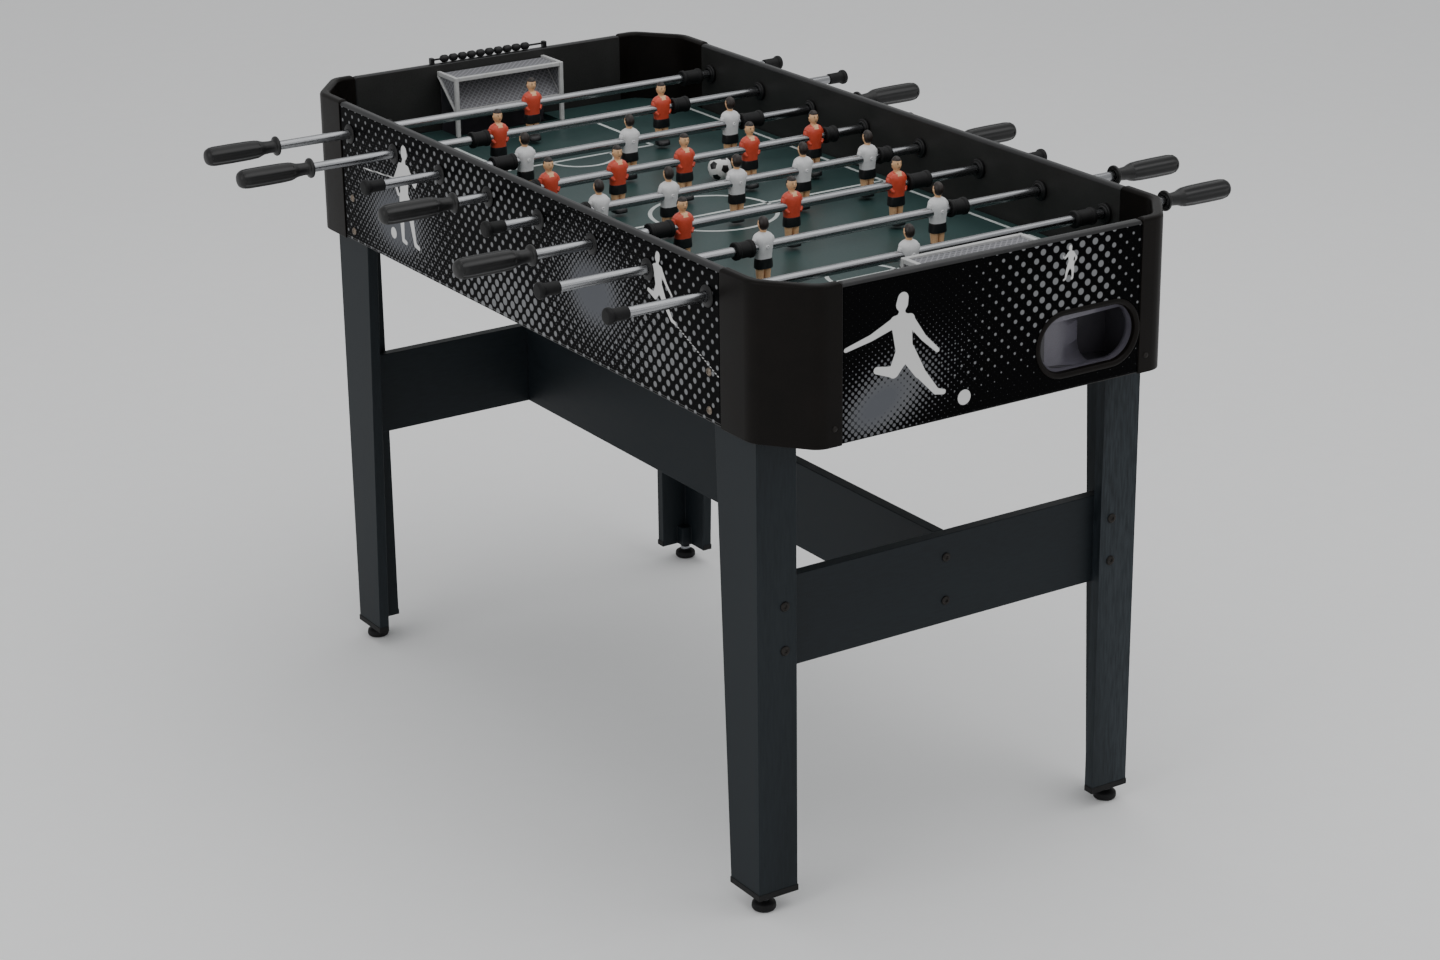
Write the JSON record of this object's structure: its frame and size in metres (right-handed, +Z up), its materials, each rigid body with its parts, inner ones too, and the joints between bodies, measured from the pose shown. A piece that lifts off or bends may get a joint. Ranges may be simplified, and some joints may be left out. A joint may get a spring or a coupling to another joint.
{
  "type": "foosball table",
  "caption": "Four-legged foosball table with eight sliding, turning rods of playing figures, two goals with ball returns and a bead scorer.",
  "frame": {"origin": "on the floor under the middle of the cabinet, at the bottom of the levellers", "axes": "+X along the table towards the white team's own goal, +Y across it towards the rear side panel, +Z up"},
  "size_m": [1.222, 1.058, 0.8371],
  "materials": {
    "panel": "black printed foil on fibreboard, satin",
    "corner_cover": "moulded plastic, fine texture",
    "playfield": "teal green printed board, satin, white lines",
    "leg_board": "slate grey foil on fibreboard, satin",
    "goal": "white moulded plastic with grey net",
    "rod_steel": "bright plated steel tube",
    "grip": "black moulded grip",
    "black_plastic": "black moulded plastic",
    "figure_red": "painted figure, red shirt",
    "figure_white": "painted figure, white shirt",
    "ball": "white ball with black patches"
  },
  "bodies": {
    "root": {"playfield": "playfield", "side_panel_front": "panel", "side_panel_rear": "panel", "end_panel_left": "panel", "end_panel_right": "panel", "corner_cover_front_left": "corner_cover", "corner_cover_front_right": "corner_cover", "corner_cover_rear_left": "corner_cover", "corner_cover_rear_right": "corner_cover", "leg_front_left": "leg_board", "leg_front_right": "leg_board", "leg_rear_left": "leg_board", "leg_rear_right": "leg_board", "stretcher_frame": "leg_board", "goal_left": "goal", "goal_right": "goal"},
    "leveller_front_left": {"leveller_front_left": "black_plastic"},
    "leveller_front_right": {"leveller_front_right": "black_plastic"},
    "leveller_rear_left": {"leveller_rear_left": "black_plastic"},
    "leveller_rear_right": {"leveller_rear_right": "black_plastic"},
    "rod_1": {"rod_1": "rod_steel"},
    "team_1": {"handle_1": "grip", "man_1_1": "figure_red"},
    "rod_2": {"rod_2": "rod_steel"},
    "team_2": {"handle_2": "grip", "man_2_1": "figure_red", "man_2_2": "figure_red"},
    "rod_3": {"rod_3": "rod_steel"},
    "team_3": {"handle_3": "grip", "man_3_1": "figure_white", "man_3_2": "figure_white", "man_3_3": "figure_white"},
    "rod_4": {"rod_4": "rod_steel"},
    "team_4": {"handle_4": "grip", "man_4_1": "figure_red", "man_4_2": "figure_red", "man_4_3": "figure_red", "man_4_4": "figure_red", "man_4_5": "figure_red"},
    "rod_5": {"rod_5": "rod_steel"},
    "team_5": {"handle_5": "grip", "man_5_1": "figure_white", "man_5_2": "figure_white", "man_5_3": "figure_white", "man_5_4": "figure_white", "man_5_5": "figure_white"},
    "rod_6": {"rod_6": "rod_steel"},
    "team_6": {"handle_6": "grip", "man_6_1": "figure_red", "man_6_2": "figure_red", "man_6_3": "figure_red"},
    "rod_7": {"rod_7": "rod_steel"},
    "team_7": {"handle_7": "grip", "man_7_1": "figure_white", "man_7_2": "figure_white"},
    "rod_8": {"rod_8": "rod_steel"},
    "team_8": {"handle_8": "grip", "man_8_1": "figure_white"},
    "ball": {"ball": "ball"},
    "score_beads": {"score_beads": "black_plastic"}
  },
  "joints": [
    {"name": "leveller_front_left_turn", "type": "hinge", "parent": "root", "child": "leveller_front_left", "pos_m": [-0.516, -0.2724, 0.01], "axis": [0, 0, 1], "continuous": true},
    {"name": "leveller_front_right_turn", "type": "hinge", "parent": "root", "child": "leveller_front_right", "pos_m": [0.516, -0.2724, 0.01], "axis": [0, 0, 1], "continuous": true},
    {"name": "leveller_rear_left_turn", "type": "hinge", "parent": "root", "child": "leveller_rear_left", "pos_m": [-0.516, 0.2724, 0.01], "axis": [0, 0, 1], "continuous": true},
    {"name": "leveller_rear_right_turn", "type": "hinge", "parent": "root", "child": "leveller_rear_right", "pos_m": [0.516, 0.2724, 0.01], "axis": [0, 0, 1], "continuous": true},
    {"name": "rod_1_slide", "type": "slide", "parent": "root", "child": "rod_1", "axis": [0, 1, 0], "range_m": [-0.066, 0.094]},
    {"name": "rod_1_spin", "type": "hinge", "parent": "rod_1", "child": "team_1", "pos_m": [-0.455, 0, 0.786], "axis": [0, 1, 0], "continuous": true},
    {"name": "rod_2_slide", "type": "slide", "parent": "root", "child": "rod_2", "axis": [0, 1, 0], "range_m": [-0.1, 0.12]},
    {"name": "rod_2_spin", "type": "hinge", "parent": "rod_2", "child": "team_2", "pos_m": [-0.325, 0, 0.786], "axis": [0, 1, 0], "continuous": true},
    {"name": "rod_3_slide", "type": "slide", "parent": "root", "child": "rod_3", "axis": [0, 1, 0], "range_m": [-0.06, 0.08]},
    {"name": "rod_3_spin", "type": "hinge", "parent": "rod_3", "child": "team_3", "pos_m": [-0.195, 0, 0.786], "axis": [0, 1, 0], "continuous": true},
    {"name": "rod_4_slide", "type": "slide", "parent": "root", "child": "rod_4", "axis": [0, 1, 0], "range_m": [-0.036, 0.044]},
    {"name": "rod_4_spin", "type": "hinge", "parent": "rod_4", "child": "team_4", "pos_m": [-0.065, 0, 0.786], "axis": [0, 1, 0], "continuous": true},
    {"name": "rod_5_slide", "type": "slide", "parent": "root", "child": "rod_5", "axis": [0, 1, 0], "range_m": [-0.034, 0.046]},
    {"name": "rod_5_spin", "type": "hinge", "parent": "rod_5", "child": "team_5", "pos_m": [0.065, 0, 0.786], "axis": [0, 1, 0], "continuous": true},
    {"name": "rod_6_slide", "type": "slide", "parent": "root", "child": "rod_6", "axis": [0, 1, 0], "range_m": [-0.062, 0.078]},
    {"name": "rod_6_spin", "type": "hinge", "parent": "rod_6", "child": "team_6", "pos_m": [0.195, 0, 0.786], "axis": [0, 1, 0], "continuous": true},
    {"name": "rod_7_slide", "type": "slide", "parent": "root", "child": "rod_7", "axis": [0, 1, 0], "range_m": [-0.104, 0.116]},
    {"name": "rod_7_spin", "type": "hinge", "parent": "rod_7", "child": "team_7", "pos_m": [0.325, 0, 0.786], "axis": [0, 1, 0], "continuous": true},
    {"name": "rod_8_slide", "type": "slide", "parent": "root", "child": "rod_8", "axis": [0, 1, 0], "range_m": [-0.066, 0.094]},
    {"name": "rod_8_spin", "type": "hinge", "parent": "rod_8", "child": "team_8", "pos_m": [0.455, 0, 0.786], "axis": [0, 1, 0], "continuous": true},
    {"name": "ball_roll", "type": "slide", "parent": "root", "child": "ball", "axis": [0, 1, 0], "range_m": [-0.36, 0.17]},
    {"name": "score_beads_slide", "type": "slide", "parent": "root", "child": "score_beads", "axis": [0, 1, 0], "range_m": [-0.004, 0.016]}
  ]
}
